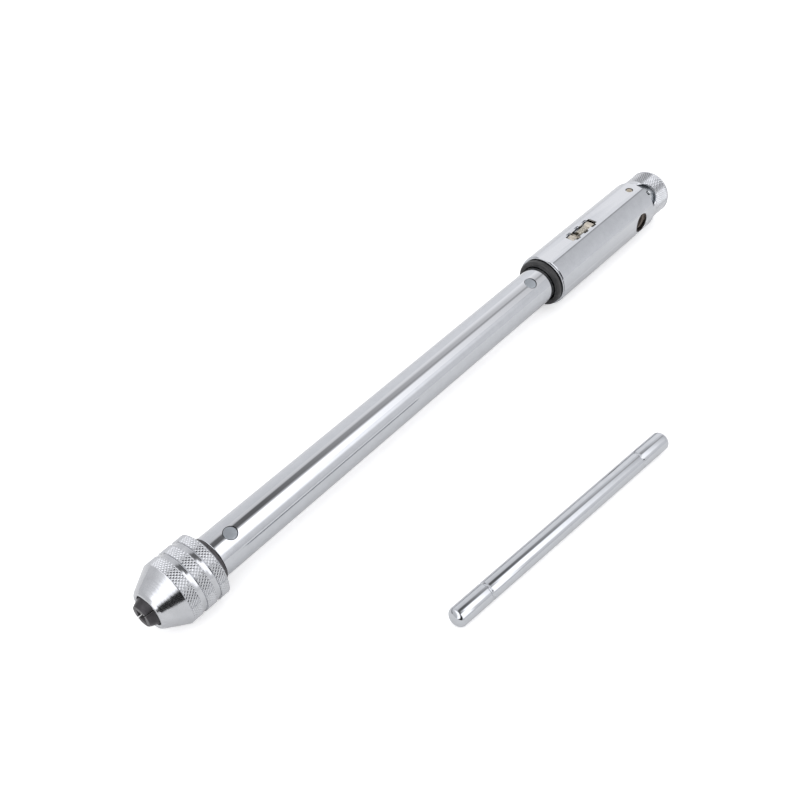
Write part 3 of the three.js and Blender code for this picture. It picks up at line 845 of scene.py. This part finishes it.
def makeCapScrew():
    screw = turned("cap_screw_turned", [
        (284, 0), (284, 1.6, 0.3), (298.9, 1.6), (298.9, 3.0, 0.15), (301.8, 3.0, 0.35), (301.8, 0),
    ], "blackedSteel", 96)
    across = 1.5
    turns = [k * math.pi / 3 for k in range(6)]
    hexagon = [(across * math.cos(a), across * math.sin(a), 0.05) for a in turns]
    socket = prism("socket", hexagon, 299.8, 303, Matrix.Rotation(math.pi / 2, 4, "Y"))
    carve(screw, [socket])
    breakEdges(screw, 0.08)
    return trueNormals(screw)


fit(makeCap(), "selector", "satin_chrome", "selector_cap")
fit(makeCapScrew(), "selector", "black_steel", "cap_screw")
print("selector cap knurled")

bar = {
    "radius": 3.65, "length": 111.9, "tip": 2.6, "lean": math.radians(-5.14),
    "grooveFromEnd": 16.0, "grooveHalf": 0.55, "grooveFloorHalf": 0.25, "grooveDepth": 0.42,
}


def makeBar():
    b = bar
    half, r = b["length"] / 2, b["radius"]
    groove = -half + b["grooveFromEnd"]
    side = [(-half, 0)]
    for i in range(1, 13):
        angle = math.pi / 2 * i / 12
        side.append((-half + b["tip"] * (1 - math.cos(angle)), r * math.sin(angle)))
    floor = r - b["grooveDepth"]
    side += [
        (groove - b["grooveHalf"], r, 0.15), (groove - b["grooveFloorHalf"], floor, 0.25),
        (groove + b["grooveFloorHalf"], floor, 0.25), (groove + b["grooveHalf"], r, 0.15),
    ]
    outline = side + [(-c[0], *c[1:]) for c in reversed(side)]
    piece = turned("tommy_bar_polished", outline, "polishedChrome", 160)
    low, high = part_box("tommy_bar")
    middle = (low + high) / 2
    middle.z = low.z + r * mm
    moved(piece, Matrix.Rotation(b["lean"], 4, "Z"))
    piece.matrix_world = Matrix.Translation(middle)
    return piece


fit(makeBar(), "bar", "chrome", "tommy_bar")
print("tommy bar turned")

# Inner pieces that stay as they are in the frame.
keptFinish = {
    "ratchet_spindle": "brightSteel", "ratchet_wheel": "brightSteel", "thrust_washer": "brightSteel",
    "pawl_carrier": "brightSteel", "bar_detent_ball": "brightSteel", "bar_detent_spring": "springWire",
    "cap_detent_ball": "brightSteel", "cap_detent_spring": "springWire", "selector_rod": "brightSteel",
    "selector_cam": "brightSteel",
}
for name, material in keptFinish.items():
    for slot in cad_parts[name].material_slots:
        slot.material = materials[material]
print("kept pieces finished:", len(keptFinish))

# Backdrop is what the camera sees past the floor, soft is the light on everything matt, and the floor
# glows by floorLift for the camera alone. The brightest band that the light tent can hold is tentPeak.
studio = {
    "floorSize": 6.0, "floorColour": (0.83, 0.83, 0.835), "backdrop": 1.0, "soft": 1.16, "floorLift": 0.42,
    "tentPeak": 4.0, "tentBlue": 1.025, "noseSlant": 0.22, "noseAim": -0.67,
    "lens": 48.49, "stand": (-0.08954, -0.20618, 0.28081), "look": (0.12316, 0.00006, 0.0), "roll": -4.6,
}


def makeFloor():
    shape = bmesh.new()
    bmesh.ops.create_grid(shape, x_segments=24, y_segments=24, size=studio["floorSize"] / 2)
    mesh = bpy.data.meshes.new("floor")
    shape.to_mesh(mesh)
    shape.free()
    floor = bpy.data.objects.new("floor", mesh)
    bpy.context.scene.collection.objects.link(floor)
    material = bpy.data.materials.new("paleFloor")
    material.use_nodes = True
    shader = material.node_tree.nodes["Principled BSDF"]
    shader.inputs["Base Color"].default_value = (*studio["floorColour"], 1)
    shader.inputs["Roughness"].default_value = 0.9
    shader.inputs["Specular IOR Level"].default_value = 0.1
    seen = put(material.node_tree, "LightPath").outputs["Is Camera Ray"]
    lift = remap(material.node_tree, seen, 0.0, 1.0, 0.0, studio["floorLift"])
    material.node_tree.links.new(lift, shader.inputs["Emission Color"])
    shader.inputs["Emission Strength"].default_value = 1.0
    mesh.materials.append(material)
    return floor


# The sky is a light tent: how bright it is depends on the lean across the tool (degrees from straight
# up towards the bar's side) and on how far along the tool a ray points.
tent = {
    "nose": [(-90, 0.8), (-40, 0.8), (-14, 1.1), (-6, 1.9), (40, 1.9), (54, 0.03), (94, 0.03), (99, 0.75)],
    "sleeve": [(-90, 0.9), (-40, 0.85), (-20, 0.7), (-13, 0.2), (22, 0.2), (28, 1.9), (72, 1.9), (80, 0.9),
               (90, 0.8)],
    "near": [(-90, 1.0), (-46, 0.95), (-26, 0.8), (-19, 0.17), (1, 0.17), (8, 0.7), (15, 2.1), (52, 2.0),
             (62, 1.0), (90, 0.8)],
    "far": [(-90, 1.0), (-55, 1.12), (-32, 1.16), (-14, 0.92), (-2, 0.84), (3, 0.5), (8, 0.5), (13, 0.8),
            (45, 0.86), (90, 0.97)],
}

# Where along the tool each band takes over from the one before it.
tentReach = {"sleeve": (-0.25, 0.05), "near": (0.30, 0.33), "far": (0.38, 0.66)}


def makeTent():
    world = bpy.data.worlds.new("lightTent")
    bpy.context.scene.world = world
    world.use_nodes = True
    tree = world.node_tree
    shader = tree.nodes["Background"]
    way = put(tree, "SeparateXYZ", {0: put(tree, "TexCoord").outputs["Generated"]}).outputs
    lean = calc(tree, "ARCTAN2", calc(tree, "MULTIPLY", way[1], -1.0), way[2])
    lean = calc(tree, "MULTIPLY_ADD", lean, 0.5 / math.pi, 0.5)
    # The nose bands lie aslant, so that the tilt of each fine ring moves their edges round the cone.
    away = calc(tree, "SUBTRACT", way[0], studio["noseAim"])
    slant = calc(tree, "MULTIPLY", away, studio["noseSlant"])
    peak = studio["tentPeak"]
    tint = (peak, peak, studio["tentBlue"] * peak)
    bands = {}
    for name, stops in tent.items():
        slanted = calc(tree, "ADD", lean, slant) if name == "nose" else lean
        shade = ramp(tree, slanted, [(0.5 + degrees / 360, level / peak) for degrees, level in stops])
        bands[name] = put(tree, "VectorMath", {0: shade, 1: tint}, operation="MULTIPLY").outputs[0]
    light = bands["nose"]
    for name, (start, end) in tentReach.items():
        light = blendColour(tree, remap(tree, way[0], start, end), light, bands[name])
    path = put(tree, "LightPath").outputs
    light = blendColour(tree, path["Is Diffuse Ray"], light, grey(studio["soft"]))
    light = blendColour(tree, path["Is Camera Ray"], light, grey(studio["backdrop"]))
    tree.links.new(light, shader.inputs["Color"])
    return world


def makeCamera():
    data = bpy.data.cameras.new("camera")
    data.lens = studio["lens"]
    data.sensor_width = 36
    data.clip_start = 0.01
    camera = bpy.data.objects.new("camera", data)
    bpy.context.scene.collection.objects.link(camera)
    stand, look = toolPlace @ Vector(studio["stand"]), toolPlace @ Vector(studio["look"])
    aim = (look - stand).to_track_quat("-Z", "Y").to_matrix().to_4x4()
    roll = Matrix.Rotation(math.radians(studio["roll"]), 4, "Z")
    camera.matrix_world = Matrix.Translation(stand) @ aim @ roll
    bpy.context.scene.camera = camera
    return camera


makeFloor()
makeTent()
makeCamera()
bpy.context.scene.view_settings.view_transform = "Standard"
print("floor, light tent and camera set")
